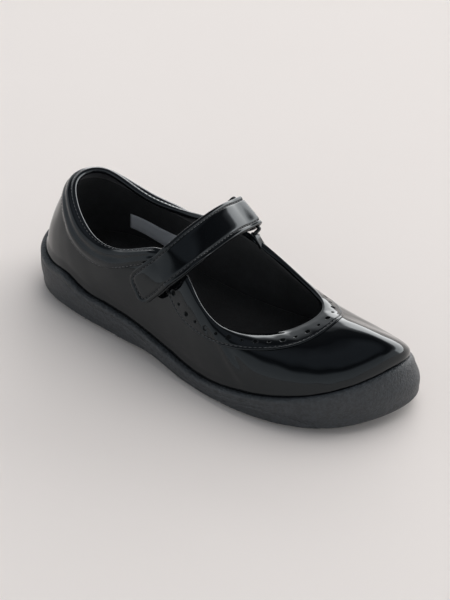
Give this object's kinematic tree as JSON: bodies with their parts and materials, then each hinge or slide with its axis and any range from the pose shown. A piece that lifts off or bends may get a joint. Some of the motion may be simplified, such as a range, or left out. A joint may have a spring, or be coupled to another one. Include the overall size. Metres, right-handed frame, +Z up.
{
  "type": "mary jane shoe",
  "caption": "Child's mary jane school shoe with a low hollow upper, a double strap over the instep and a matte rubber cupsole.",
  "frame": {"origin": "on the ground under the middle of the shoe's bounding box", "axes": "+X towards the toe, +Y towards the inner (medial) side, +Z up"},
  "size_m": [0.215, 0.0826, 0.0697],
  "materials": {
    "sole_rubber": "matte, fine pebble grain",
    "insole_lining": "matte black lining",
    "patent_leather": "high gloss black patent",
    "collar_leather": "high gloss black patent, padded",
    "strap_leather": "high gloss black patent, edge stitched",
    "keeper_leather": "gloss black"
  },
  "bodies": {
    "root": {"outsole": "sole_rubber", "insole": "insole_lining", "upper": "patent_leather", "collar_panel": "collar_leather", "strap": "strap_leather", "strap_keeper": "keeper_leather"}
  },
  "joints": []
}
